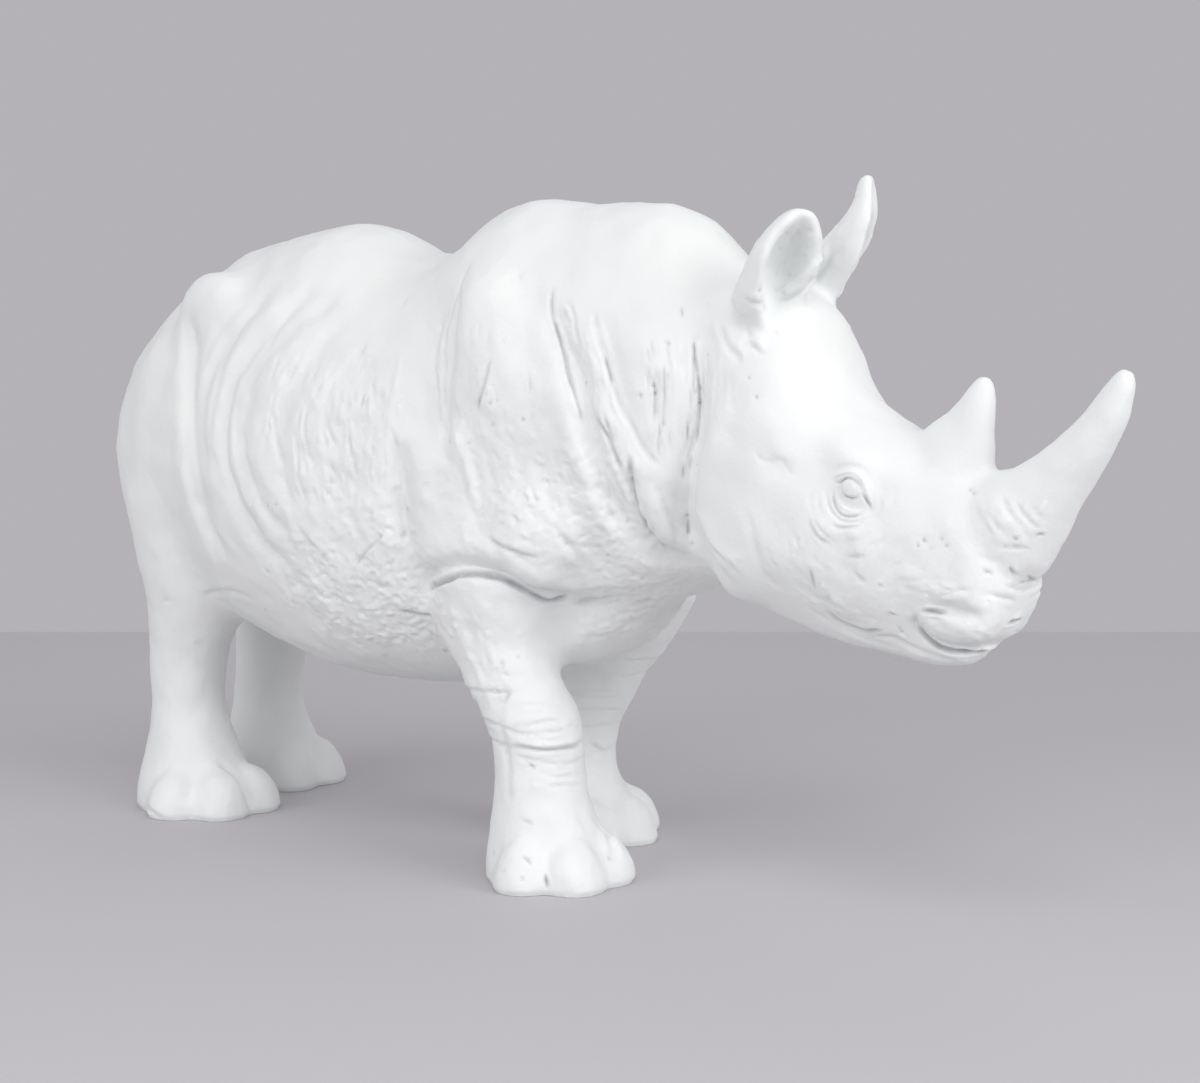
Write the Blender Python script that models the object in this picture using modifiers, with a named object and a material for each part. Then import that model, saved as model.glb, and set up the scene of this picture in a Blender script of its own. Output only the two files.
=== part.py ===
"""Rhinoceros figurine: one resin casting, painted matt white, that stands on its four feet.

X runs forward to the front horn, Y to the animal's left and Z up. The origin lies on the surface
that the figurine stands on, under the middle of its box. The whole figure is one solid.
"""

import math

import bmesh
import bpy
import numpy as np
from mathutils import Matrix, Quaternion, Vector

# Driving size, in metres: from the tail to the tip of the front horn.
OVERALL_LENGTH = 0.452

# The pose and the proportions are drawn on a figure of this many shares from tail to horn tip.
LENGTH_IN_SHARES = 452
SHARE = OVERALL_LENGTH / LENGTH_IN_SHARES

# Sizes that can be set by themselves, in shares.
EAR_WALL = 4.2
FRONT_HORN_TIP = 2.6
REAR_HORN_TIP = 2.4
TAIL_RADIUS = 4.0

# Mesh fineness, in shares, and the number of triangles that the casting keeps.
TRUNK_VOXEL = 3.4
CASTING_VOXEL = 1.7
CASTING_TRIANGLES = 9700
SOLE_SNAP = 0.6
HEAD_START = 160
HEAD_FAVOUR = 0.001

# Sections of trunk, neck and head, from the rump to the nose: the top point (x, z), the bottom
# point (x, z), the half width, and how far up the section is widest. They share the middle plane.
TRUNK = [
    (-129, 156, -130, 128, 14, 0.50),
    (-127, 176, -128, 108, 29, 0.50),
    (-118, 192, -121, 92, 39, 0.50),
    (-104, 204, -108, 83, 45, 0.48),
    (-88, 210, -94, 78, 49, 0.46),
    (-72, 221, -77, 75, 53, 0.44),
    (-54, 224, -58, 70, 56, 0.42),
    (-36, 228, -40, 64, 58, 0.42),
    (-20, 231, -22, 60, 59.5, 0.40),
    (-4, 227.5, -4, 57.5, 60, 0.40),
    (13, 220, 14, 57, 60, 0.40),
    (32, 219, 32, 58, 57.5, 0.42),
    (46, 226, 48, 60, 55.5, 0.44),
    (60, 237, 66, 66, 53.5, 0.46),
    (76, 241, 84, 73, 51, 0.48),
    (96, 238, 102, 82, 48, 0.48),
    (114, 238, 122, 92, 45, 0.46),
    (132, 239, 138, 99, 41, 0.44),
    (146, 234.5, 150, 104, 37, 0.44),
    (157, 225, 157, 107, 33, 0.44),
    (165, 217.5, 162, 110, 28, 0.44),
]
HEAD = [
    (162, 218, 158, 112, 28, 0.44),
    (174, 214, 168, 104, 33, 0.44),
    (188, 212, 180, 99.5, 34, 0.46),
    (199, 205, 192, 97, 33.5, 0.46),
    (204, 189, 203, 95, 32, 0.48),
    (214, 176.5, 214, 93, 29, 0.48),
    (230, 167.5, 227, 91.5, 25.5, 0.46),
    (247, 161.5, 239, 91, 22.5, 0.44),
    (261, 155, 251, 92, 20.5, 0.42),
    (272, 146, 261, 94, 19, 0.40),
    (279, 129, 269, 97, 17.5, 0.42),
    (279.5, 117, 274, 101, 13.5, 0.45),
]
LOWER_JAW = [
    (188, 113, 188, 98, 20, 0.5),
    (214, 106, 212, 91.5, 18, 0.5),
    (236, 100, 234, 88.5, 15, 0.5),
    (252, 97, 250, 86.5, 14, 0.5),
    (263, 95.5, 261, 88, 11, 0.5),
]
TOP_ROUNDNESS = 1.95
BELLY_ROUNDNESS = 2.3

# Muscle and bone under the skin, on the right side: centre, radii, and lean about Y in degrees.
# Each has a twin on the left side.
MASSES = [
    ((86, -35, 166), (26, 16, 52), -12),
    ((98, -36, 125), (25, 16.5, 25), -15),
    ((-84, -30, 138), (31, 20, 52), -8),
    ((-62, -34, 188), (22, 10.5, 25), -30),
    ((187, -18, 134), (21, 17, 33), 18),
    ((223, -19, 156), (14, 7, 6.5), 30),
    ((262, -9, 104), (12, 10, 8.5), 0),
    ((255, -9, 121), (16, 11, 12), 25),
]
BRISKET = ((102, 0, 87), (30, 24, 13), -24)

# Legs: the centre (x, y, z), then the half length and half width of each section. Each runs on
# below the level where the soles are cut.
BELOW = -18
SOLE_LEVEL = -1.7
RIGHT_FORELEG = [
    (80, -34, 128, 28, 19),
    (77, -36, 108, 26, 19),
    (77, -35, 95, 23.5, 19),
    (79, -34, 82, 20.5, 17.5),
    (85, -33.5, 72, 18.5, 16.5),
    (94, -33, 60, 18.5, 17),
    (98, -33, 51, 17, 16),
    (98.5, -33, 42, 15.5, 15.5),
    (99.5, -33, 30, 16.5, 16.5),
    (101.5, -33, 21, 19, 18.5),
    (103, -33, 12, 21.5, 20.5),
    (103.5, -33.5, 4, 22.5, 22.5),
    (103.5, -33.5, BELOW, 22, 22),
]
LEFT_FORELEG = [
    (84, 34, 128, 30, 19),
    (90, 35, 108, 27, 19),
    (90, 34, 94, 24, 19),
    (84, 33, 79, 22, 18),
    (74, 32, 64, 19, 17),
    (68, 31, 52, 17.5, 16),
    (61, 31, 39, 16, 15.5),
    (59, 31, 29, 16.5, 16.5),
    (60.5, 31, 20, 18.5, 18),
    (62, 31, 11, 20.5, 20),
    (63, 31, 4, 21.5, 21),
    (63, 31, BELOW, 21.5, 21),
]
RIGHT_HINDLEG = [
    (-86, -30, 124, 32, 21),
    (-85, -30, 105, 28, 20),
    (-84, -29, 92, 24, 19),
    (-85, -28, 80, 20.5, 18),
    (-88, -28, 70, 18, 16.5),
    (-91, -28, 58, 15.5, 15),
    (-91, -28, 40, 14.5, 14.5),
    (-89.5, -28, 28, 17.5, 17),
    (-88, -28, 17, 21.5, 20),
    (-87, -29, 7, 24, 22.5),
    (-87, -29, BELOW, 23.5, 22),
]
LEFT_HINDLEG = [
    (-90, 30, 124, 32, 21),
    (-94, 30, 105, 28, 20),
    (-96, 29, 92, 24, 19),
    (-98, 28, 76, 19, 17),
    (-101, 28, 60, 16, 15),
    (-104, 28, 44, 14.5, 14),
    (-105, 28, 32, 14, 13.5),
    (-103.5, 28, 23, 16.5, 16),
    (-102, 28, 15, 20, 19),
    (-102, 28, 7, 22, 21),
    (-102, 28, BELOW, 22, 21),
]
# Feet: the middle of the three toes (x, y), and which way the foot points, in degrees left of ahead.
FEET = {
    "right_fore": (106, -33.5, -26),
    "left_fore": (68, 31, 6),
    "right_hind": (-80, -29.5, -26),
    "left_hind": (-99, 28, 34),
}
TOE_SPREAD = 62
# The root of a toe leans back into the leg, and its pad is round. Reach, radii, lean in degrees
# and height of the centre.
TOE_ROOT = (11.5, (12, 11.5, 27), 26, 0)
TOE_PAD = (17.5, (12, 12, 19), 6, -2)

# Horns: points of the middle line (x, z), the half length and the half width there.
FRONT_HORN = [
    (270, 133, 19, 15),
    (276, 138, 18, 14),
    (284, 144, 14.2, 12),
    (292, 152.5, 11.3, 9.6),
    (301.8, 163.5, 8.7, 7.6),
    (308.8, 174, 6.8, 6),
    (313.2, 183.5, 4.6, 4.2),
    (315, 188, FRONT_HORN_TIP, FRONT_HORN_TIP),
]
REAR_HORN = [
    (250, 152, 16, 12),
    (252.5, 159, 14, 10),
    (257, 167, 9.6, 7.2),
    (260.5, 175.5, 6.4, 5.2),
    (262.3, 181.5, 4.0, 3.6),
    (263, 184, REAR_HORN_TIP, REAR_HORN_TIP),
]

# Ears: the direction that the cup opens to. Then, from root to tip: the middle (x, y, z), the
# radius, half the angle of the wall, and how hollow it is. The root is solid.
RIGHT_EAR_OPENS = (0.90, -0.42, -0.10)
RIGHT_EAR = [
    (180.5, -14, 202, 10.5, 172, 0.05),
    (184.5, -15, 207.5, 11.5, 155, 0.05),
    (189.5, -16, 213.9, 12.4, 132, 1),
    (194.5, -17.2, 220.3, 12.4, 114, 1),
    (199, -18, 226.8, 10.6, 102, 1),
    (202.2, -18.6, 232.4, 7.2, 96, 1),
    (204, -19, 236, 4.0, 92, 1),
]
LEFT_EAR_OPENS = (0.90, 0.42, -0.10)
LEFT_EAR = [
    (179, 15, 203, 8.5, 172, 0.05),
    (184, 15.6, 210, 9.5, 155, 0.05),
    (191, 16.4, 216.5, 11, 132, 1),
    (199, 17, 223.5, 11.4, 114, 1),
    (204.4, 17.2, 233, 9.2, 102, 1),
    (206, 17.4, 240.5, 7.0, 96, 1),
    (205, 17.5, 248.5, 4.6, 92, 1),
]

# Tail: points of its line in the middle plane (x, z), and its thickness as a share of TAIL_RADIUS.
TAIL = [
    (-116, 190, 1.8),
    (-125, 178, 1.5),
    (-130, 160, 1.2),
    (-131, 142, 1.0),
    (-130, 124, 1.2),
    (-127, 110, 0.7),
]

# Folds of the hide, drawn in side view (x, z) and cut into both flanks: how deep and how wide the
# groove is, and how high the hide stands along its left side, looking from point to point.
FOLDS = [
    ([(-76, 198), (-67, 174), (-60, 150), (-55, 127), (-49, 112), (-40, 101)], 3.0, 5.5, -2.0),
    ([(-28, 208), (-42, 190), (-50, 176), (-53, 163), (-51, 150), (-45, 135)], 1.8, 4.0, 1.0),
    (
        [(-6, 208), (-18, 196), (-29, 184), (-37, 171), (-39, 156), (-36, 141), (-28, 126), (-14, 112), (0, 103)],
        2.8, 4.5, 1.4,
    ),
    (
        [(6, 205), (-8, 195), (-20, 183), (-27, 170), (-28, 155), (-23, 140), (-12, 125), (2, 114)],
        2.2, 4.5, 1.0,
    ),
    ([(14, 198), (2, 182), (-6, 166), (-7, 150), (-2, 136), (6, 124)], 1.4, 5.0, 0.6),
    ([(58, 212), (57, 200), (59, 186), (60, 164), (58, 146)], 3.6, 11, 0),
    ([(66, 218), (69, 202), (69, 180), (70, 160), (74, 142)], 1.5, 3.5, 1.5),
    ([(49, 158), (50, 140), (52, 122), (57, 104), (60, 92)], 4.2, 5.0, 0),
    (
        [(54, 101), (60, 106), (68, 110), (77, 112), (87, 113), (97, 110), (105, 104), (113, 100), (122, 101)],
        3.8, 4.0, 3.6,
    ),
    ([(106, 206), (119, 185), (127, 165), (132, 143), (137, 124)], 2.4, 4.0, -1.2),
    ([(127, 203), (136, 182), (144, 162), (152, 148)], 2.0, 4.0, -1.0),
    ([(114, 197), (125, 173), (131, 150), (141, 127), (150, 112)], 1.6, 3.5, -0.8),
    ([(144, 152), (146, 137), (149, 125), (154, 118), (161, 116)], 2.4, 3.5, 1.6),
    ([(156, 146), (158, 130), (161, 118)], 2.2, 3.5, -1.2),
    ([(153, 184), (154, 166), (157, 150)], 1.4, 3.0, 0),
    ([(108, 97), (122, 99), (136, 102), (150, 107), (160, 110)], 1.8, 3.5, 0),
    ([(163, 202), (166, 187), (169, 171), (167, 158), (164, 146), (162, 132), (161, 118)], 3.6, 5.0, 1.4),
    ([(176, 186), (177, 168)], 1.4, 3.0, 0),
    ([(184, 182), (185, 166)], 1.2, 3.0, 0),
    ([(176, 168), (167, 150), (165, 137), (170, 121), (184, 110)], 1.6, 4.0, 2.0),
    ([(193, 160), (200, 153), (212, 150)], 1.0, 3.0, 0),
    ([(211, 107), (222, 100), (236, 96)], 1.6, 3.5, 1.0),
    ([(249, 109), (256, 110), (266, 109.5), (275, 107)], 2.4, 2.6, 0.5),
    ([(247, 106), (250, 100), (255, 96.5), (262, 95), (285, 95)], 3.0, 2.2, 0.8),
]
LEDGE_REACH = 9
FOLD_TAPER = 6
FOLD_TAPER_SHARE = 0.45

# Eye: its place (x, z), and the ball, the socket round it and the lids' rim.
EYE = (228.5, 146)
EYE_BALL = 6.0
EYE_BALL_LIFT = 2.2
EYE_SOCKET_DEPTH = 1.2
EYE_SOCKET_RADIUS = 9.5

RING_POINTS = 28


def superellipse(angle):
    """Across and along, each from -1 to 1: a little pointed above and a little square below."""
    across, along = math.cos(angle), math.sin(angle)
    power = 2 / (TOP_ROUNDNESS if along > 0 else BELLY_ROUNDNESS)
    return (
        math.copysign(abs(across) ** power, across),
        math.copysign(abs(along) ** power, along),
    )


def upright_ring(station):
    """A closed section that holds the Y direction and the line from its bottom to its top."""
    top_x, top_z, bottom_x, bottom_z, half_width, widest = station
    top, bottom = Vector((top_x, 0, top_z)), Vector((bottom_x, 0, bottom_z))
    middle = bottom.lerp(top, widest)
    ring = []
    for i in range(RING_POINTS):
        across, along = superellipse(2 * math.pi * i / RING_POINTS)
        reach = (top - middle) if along > 0 else (middle - bottom)
        ring.append(middle + reach * along + Vector((0, half_width * across, 0)))
    return ring


def level_ring(station):
    """A closed horizontal oval, as through a leg."""
    x, y, z, half_length, half_width = station
    ring = []
    for i in range(RING_POINTS):
        across, along = superellipse(2 * math.pi * i / RING_POINTS)
        ring.append(Vector((x + half_length * along, y - half_width * across, z)))
    return ring


def rings_along(points, radii):
    """Closed ovals square to a line in the middle plane; radii are (half length, half width)."""
    rings = []
    for i, point in enumerate(points):
        before, after = points[max(i - 1, 0)], points[min(i + 1, len(points) - 1)]
        along = (after - before).normalized()
        side = Vector((0, 1, 0))
        front = along.cross(side)
        half_length, half_width = radii[i]
        rings.append(
            [
                point
                + front * half_length * math.cos(2 * math.pi * k / RING_POINTS)
                + side * half_width * math.sin(2 * math.pi * k / RING_POINTS)
                for k in range(RING_POINTS)
            ]
        )
    return rings


def loft(rings):
    """A closed skin through the rings, with a flat cap at each end."""
    bm = bmesh.new()
    loops = [[bm.verts.new(point) for point in ring] for ring in rings]
    count = len(rings[0])
    for lower, upper in zip(loops, loops[1:]):
        for k in range(count):
            n = (k + 1) % count
            bm.faces.new((lower[k], lower[n], upper[n], upper[k]))
    bm.faces.new(loops[0])
    bm.faces.new(loops[-1])
    bmesh.ops.recalc_face_normals(bm, faces=bm.faces)
    return bm


def ball(centre, radii, turn):
    """An ellipsoid, turned by a rotation matrix."""
    bm = bmesh.new()
    bmesh.ops.create_uvsphere(bm, u_segments=24, v_segments=14, radius=1)
    place = Matrix.Translation(centre) @ turn @ Matrix.Diagonal((*radii, 1))
    bmesh.ops.transform(bm, matrix=place, verts=bm.verts)
    return bm


def mirrored(point):
    return Vector((point[0], -point[1], point[2]))


def masses():
    """The muscles and bones of both sides."""
    made = []
    for centre, radii, lean in MASSES:
        for side_centre in (Vector(centre), mirrored(centre)):
            turn = Matrix.Rotation(math.radians(lean), 4, "Y")
            made.append(ball(side_centre, radii, turn))
    centre, radii, lean = BRISKET
    made.append(ball(centre, radii, Matrix.Rotation(math.radians(lean), 4, "Y")))
    return made


def toes():
    """Three toes on each foot, fanned about the way that the foot points."""
    made = []
    for x, y, heading in FEET.values():
        for toe in (-1, 0, 1):
            angle = math.radians(heading + toe * TOE_SPREAD)
            way = Vector((math.cos(angle), math.sin(angle), 0))
            for reach, radii, lean, centre_z in (TOE_ROOT, TOE_PAD):
                centre = Vector((x, y, centre_z)) + way * reach
                lean_back = Matrix.Rotation(-math.radians(lean), 4, "Y")
                made.append(ball(centre, radii, Matrix.Rotation(angle, 4, "Z") @ lean_back))
    return made


def ear(stations, opening):
    """A leaf rolled into a cup: its wall is an arc about the ear's middle line."""
    points = [Vector(station[:3]) for station in stations]
    half_arc = RING_POINTS // 3
    rings = []
    for i, (centre, station) in enumerate(zip(points, stations)):
        radius, half_angle, hollow = station[3:]
        along = (points[min(i + 1, len(points) - 1)] - points[max(i - 1, 0)]).normalized()
        front = Vector(opening)
        front = (front - along * front.dot(along)).normalized()
        side = along.cross(front)
        bore = max(radius - EAR_WALL, radius * 0.2) * hollow
        arc = [math.radians(180 + half_angle * k / half_arc) for k in range(-half_arc, half_arc + 1)]
        outer = [centre + (front * math.cos(a) + side * math.sin(a)) * radius for a in arc]
        inner = [centre + (front * math.cos(a) + side * math.sin(a)) * bore for a in reversed(arc)]
        rings.append(outer + inner)
    return loft(rings)


def horn(stations):
    points = [Vector((x, 0, z)) for x, z, _, _ in stations]
    return loft(rings_along(points, [(a, b) for _, _, a, b in stations]))


def tail():
    points = [Vector((x, 0, z)) for x, z, _ in TAIL]
    return loft(rings_along(points, [(TAIL_RADIUS * k, TAIL_RADIUS * k) for _, _, k in TAIL]))


def joined(pieces, name):
    """One mesh object of several bmeshes, in metres."""
    whole = bmesh.new()
    for bm in pieces:
        piece = bpy.data.meshes.new(name)
        bm.to_mesh(piece)
        bm.free()
        whole.from_mesh(piece)
        bpy.data.meshes.remove(piece)
    bmesh.ops.scale(whole, vec=(SHARE, SHARE, SHARE), verts=whole.verts)
    mesh = bpy.data.meshes.new(name)
    whole.to_mesh(mesh)
    whole.free()
    obj = bpy.data.objects.new(name, mesh)
    bpy.context.scene.collection.objects.link(obj)
    return obj


def settle(obj):
    """Swaps an object's mesh for what its modifiers make of it."""
    graph = bpy.context.evaluated_depsgraph_get()
    mesh = bpy.data.meshes.new_from_object(obj.evaluated_get(graph))
    obj.modifiers.clear()
    obj.data = mesh


def fuse(obj, voxel, smoothing):
    """Runs overlapping shapes together into one skin and softens the joins."""
    remesh = obj.modifiers.new("fuse", "REMESH")
    remesh.mode = "VOXEL"
    remesh.voxel_size = voxel * SHARE
    smooth = obj.modifiers.new("soften", "SMOOTH")
    smooth.factor = 0.5
    smooth.iterations = smoothing
    settle(obj)


def along_path(points, places):
    """Distance of each place (x, z) from a path, share of the way along it, and side (+1 left)."""
    nearest = np.full(len(places), np.inf)
    travelled = np.zeros(len(places))
    side = np.ones(len(places))
    walked = 0.0
    for start, end in zip(points, points[1:]):
        start, run = np.array(start, float), np.subtract(end, start)
        length = np.hypot(*run)
        offset = places - start
        share = np.clip(offset @ run / length**2, 0, 1)
        distance = np.hypot(*(offset - share[:, None] * run).T)
        closer = distance < nearest
        nearest[closer] = distance[closer]
        travelled[closer] = (walked + share * length)[closer]
        turn = run[0] * offset[:, 1] - run[1] * offset[:, 0]
        side[closer] = np.sign(turn)[closer]
        walked += length
    return nearest, travelled, walked, side


def ramp(values, low, high):
    """Eases from 0 at low to 1 at high."""
    share = np.clip((values - low) / (high - low), 0, 1)
    return share * share * (3 - 2 * share)


def carve(obj):
    """Cuts the folds of the hide and the eyes into both flanks, along the surface's own normals."""
    mesh = obj.data
    count = len(mesh.vertices)
    places = np.empty(count * 3)
    mesh.vertices.foreach_get("co", places)
    places = places.reshape(-1, 3) / SHARE
    normals = np.empty(count * 3)
    mesh.vertices.foreach_get("normal", normals)
    normals = normals.reshape(-1, 3)
    outward = normals[:, 1] * np.sign(places[:, 1])
    facing = ramp(outward, 0.05, 0.35)
    flat = places[:, [0, 2]]
    lift = np.zeros(count)
    for points, depth, width, ledge in FOLDS:
        distance, travelled, length, side = along_path(points, flat)
        taper = min(FOLD_TAPER + width, FOLD_TAPER_SHARE * length)
        ends = ramp(travelled, 0, taper) * ramp(length - travelled, 0, taper)
        front = ramp(flat[:, 0], 262, 272) if points[-1][0] > 280 else 0
        groove = -depth * np.exp(-((distance / width) ** 2))
        on_ledge = ramp(distance * side * np.sign(ledge), -0.5, 1.5)
        step = abs(ledge) * on_ledge * np.exp(-((distance / LEDGE_REACH) ** 2))
        lift += (groove + step) * ends * np.maximum(facing, front)
    from_eye = np.hypot(flat[:, 0] - EYE[0], flat[:, 1] - EYE[1])
    socket = -EYE_SOCKET_DEPTH * np.exp(-((from_eye / EYE_SOCKET_RADIUS) ** 4))
    ball_lift = EYE_BALL_LIFT * np.sqrt(np.clip(1 - (from_eye / EYE_BALL) ** 2, 0, 1))
    lift += (socket + ball_lift) * facing
    moved = (places + normals * lift[:, None]) * SHARE
    mesh.vertices.foreach_set("co", moved.ravel())
    mesh.update()


def thin_out(obj, triangles):
    """Keeps about this many triangles: more where the form bends, and more on the head."""
    group = obj.vertex_groups.new(name="plain")
    for vertex in obj.data.vertices:
        on_head = vertex.co.x > HEAD_START * SHARE
        group.add([vertex.index], 0.5 if on_head else 1.0, "REPLACE")
    count = sum(len(p.vertices) - 2 for p in obj.data.polygons)
    fewer = obj.modifiers.new("thin_out", "DECIMATE")
    fewer.ratio = min(1.0, triangles / count)
    fewer.vertex_group = group.name
    fewer.vertex_group_factor = HEAD_FAVOUR
    fewer.use_collapse_triangulate = True
    settle(obj)


def cut_soles(obj):
    """Cuts the feet off flat at their level and closes them with flat soles."""
    bm = bmesh.new()
    bm.from_mesh(obj.data)
    geometry = bm.verts[:] + bm.edges[:] + bm.faces[:]
    cut = bmesh.ops.bisect_plane(
        bm,
        geom=geometry,
        dist=1e-7,
        plane_co=(0, 0, SOLE_LEVEL * SHARE),
        plane_no=(0, 0, -1),
        clear_outer=True,
    )
    rim = [g for g in cut["geom_cut"] if isinstance(g, bmesh.types.BMEdge)]
    bmesh.ops.holes_fill(bm, edges=rim, sides=0)
    bm.to_mesh(obj.data)
    bm.free()


def level_soles(obj):
    """Puts every corner that is close to the level of the soles exactly on it."""
    for vertex in obj.data.vertices:
        if vertex.co.z < (SOLE_LEVEL + SOLE_SNAP) * SHARE:
            vertex.co.z = SOLE_LEVEL * SHARE


def centre_on_origin(obj):
    """Moves the casting so that its soles are at 0 and the middle of its box is over the origin."""
    corners = np.array([v.co for v in obj.data.vertices])
    middle = (corners.min(0) + corners.max(0)) / 2
    shift = Vector((-middle[0], -middle[1], -corners.min(0)[2]))
    obj.data.transform(Matrix.Translation(shift))
    return shift


def paint():
    material = bpy.data.materials.new("matt_white_paint")
    material.use_nodes = True
    shader = material.node_tree.nodes["Principled BSDF"]
    shader.inputs["Base Color"].default_value = (0.86, 0.87, 0.87, 1)
    shader.inputs["Roughness"].default_value = 0.6
    shader.inputs["Metallic"].default_value = 0.0
    return material


for old in list(bpy.data.objects):
    bpy.data.objects.remove(old)

# The trunk with its muscles is fused first and softened most.
figure = joined(
    [
        loft([upright_ring(s) for s in TRUNK]),
        loft([upright_ring(s) for s in HEAD]),
        loft([upright_ring(s) for s in LOWER_JAW]),
        loft([level_ring(s) for s in RIGHT_FORELEG]),
        loft([level_ring(s) for s in LEFT_FORELEG]),
        loft([level_ring(s) for s in RIGHT_HINDLEG]),
        loft([level_ring(s) for s in LEFT_HINDLEG]),
        *masses(),
    ],
    "rhinoceros",
)
fuse(figure, TRUNK_VOXEL, 8)

# Toes, horns, ears and tail keep a crisper form.
details = joined(
    [
        *toes(),
        horn(FRONT_HORN),
        horn(REAR_HORN),
        ear(RIGHT_EAR, RIGHT_EAR_OPENS),
        ear(LEFT_EAR, LEFT_EAR_OPENS),
        tail(),
    ],
    "details",
)
both = bmesh.new()
both.from_mesh(figure.data)
both.from_mesh(details.data)
both.to_mesh(figure.data)
both.free()
bpy.data.objects.remove(details)
fuse(figure, CASTING_VOXEL, 5)
carve(figure)

cut_soles(figure)
thin_out(figure, CASTING_TRIANGLES)
level_soles(figure)
bed_shift = centre_on_origin(figure)
figure.data.materials.clear()
figure.data.materials.append(paint())
figure.data.shade_smooth()

collection = bpy.data.collections.new("rhinoceros_figurine")
bpy.context.scene.collection.children.link(collection)
bpy.context.scene.collection.objects.unlink(figure)
collection.objects.link(figure)
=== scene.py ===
"""Rhinoceros figurine: a resin casting from a modelled clay original, painted matt white."""

import math

import bmesh
import bpy
import numpy as np
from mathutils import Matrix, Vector
from mathutils.bvhtree import BVHTree


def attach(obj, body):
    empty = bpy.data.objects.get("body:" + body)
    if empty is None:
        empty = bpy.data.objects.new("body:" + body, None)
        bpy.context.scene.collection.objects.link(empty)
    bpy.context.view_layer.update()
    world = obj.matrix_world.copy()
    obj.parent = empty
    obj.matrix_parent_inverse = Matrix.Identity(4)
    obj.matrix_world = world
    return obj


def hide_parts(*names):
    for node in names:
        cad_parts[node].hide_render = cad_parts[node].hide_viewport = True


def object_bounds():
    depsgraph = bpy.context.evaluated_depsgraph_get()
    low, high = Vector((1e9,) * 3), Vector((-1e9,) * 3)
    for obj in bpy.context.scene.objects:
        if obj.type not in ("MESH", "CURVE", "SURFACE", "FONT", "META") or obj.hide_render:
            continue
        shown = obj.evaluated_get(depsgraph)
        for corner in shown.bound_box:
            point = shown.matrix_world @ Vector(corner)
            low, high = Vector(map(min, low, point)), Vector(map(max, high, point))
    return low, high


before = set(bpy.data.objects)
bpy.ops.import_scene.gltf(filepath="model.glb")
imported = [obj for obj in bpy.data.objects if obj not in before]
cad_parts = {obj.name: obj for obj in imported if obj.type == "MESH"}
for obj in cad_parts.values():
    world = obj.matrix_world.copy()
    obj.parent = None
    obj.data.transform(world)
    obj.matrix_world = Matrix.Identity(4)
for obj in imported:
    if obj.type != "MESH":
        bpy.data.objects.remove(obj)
cad_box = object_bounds()

# Camera. It stands to the right of the figure and ahead of it, a little above its back, and looks
# slightly down. A long lens keeps the legs upright, as in a product photograph.
PHOTO_SIZE = (1200, 1083)
CAMERA_PLACE = Vector((0.7008, -0.8245, 0.2517))
CAMERA_TURN = math.radians(40)
CAMERA_TILT = math.radians(7.06)
LENS_MM, SENSOR_MM = 90, 36

camera = bpy.data.objects.new("camera", bpy.data.cameras.new("camera"))
camera.data.lens = LENS_MM
camera.data.sensor_width = SENSOR_MM
camera.location = CAMERA_PLACE
camera.rotation_euler = (math.radians(90) - CAMERA_TILT, 0, CAMERA_TURN)
bpy.context.scene.collection.objects.link(camera)
bpy.context.scene.camera = camera


def sight(pixel):
    """The direction in which the camera sees a pixel of the photograph."""
    focal = PHOTO_SIZE[0] * LENS_MM / SENSOR_MM
    across = (pixel[0] - PHOTO_SIZE[0] / 2) / focal
    down = (pixel[1] - PHOTO_SIZE[1] / 2) / focal
    return camera.rotation_euler.to_matrix() @ Vector((across, -down, -1)).normalized()


# Casting. One hollow body of polyester resin, poured in a rubber mould taken from the clay. Its
# skin starts from the solid's own form, made fine enough to carry the marks of the tools.
VOXEL = 0.0008
SOFTENING = 22
FOOT_TRIM = 0.0025
SOLE_RUN_ON = 0.008
FINE_SPOTS = [((852, 496), 0.013), ((950, 630), 0.016), ((1000, 630), 0.014), ((915, 622), 0.010)]
MIDDLE_Y = 0.00154
CASTING_TRIANGLES = 190000


def settle(obj):
    """Swaps an object's mesh for what its modifiers make of it."""
    graph = bpy.context.evaluated_depsgraph_get()
    mesh = bpy.data.meshes.new_from_object(obj.evaluated_get(graph))
    obj.modifiers.clear()
    obj.data = mesh


def trim_below(bm, height):
    """Cuts a mesh off level at a height, and gives the open rim."""
    cut = bmesh.ops.bisect_plane(
        bm, geom=bm.verts[:] + bm.edges[:] + bm.faces[:], dist=1e-7,
        plane_co=(0, 0, height), plane_no=(0, 0, -1), clear_outer=True,
    )
    return [part for part in cut["geom_cut"] if isinstance(part, bmesh.types.BMEdge)]


def hits(skin, pixels):
    """The places on the skin under pixels of the photograph, left out where the ray passes by."""
    found = [skin.ray_cast(CAMERA_PLACE, sight(pixel))[0] for pixel in pixels]
    return [place for place in found if place is not None]


bm = bmesh.new()
bm.from_mesh(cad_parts["rhinoceros"].data)
bmesh.ops.remove_doubles(bm, verts=bm.verts, dist=1e-6)
rim = trim_below(bm, FOOT_TRIM)
grown = bmesh.ops.extrude_edge_only(bm, edges=rim)["geom"]
feet_ends = [part for part in grown if isinstance(part, bmesh.types.BMVert)]
bmesh.ops.translate(bm, vec=(0, 0, -FOOT_TRIM - SOLE_RUN_ON), verts=feet_ends)
open_ends = [part for part in grown if isinstance(part, bmesh.types.BMEdge)]
bmesh.ops.holes_fill(bm, edges=open_ends, sides=0)
bmesh.ops.recalc_face_normals(bm, faces=bm.faces)
mesh = bpy.data.meshes.new("rhinoceros_casting")
bm.to_mesh(mesh)
bm.free()
casting = bpy.data.objects.new("rhinoceros_casting", mesh)
bpy.context.scene.collection.objects.link(casting)
remesh = casting.modifiers.new("fine_skin", "REMESH")
remesh.mode = "VOXEL"
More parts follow.
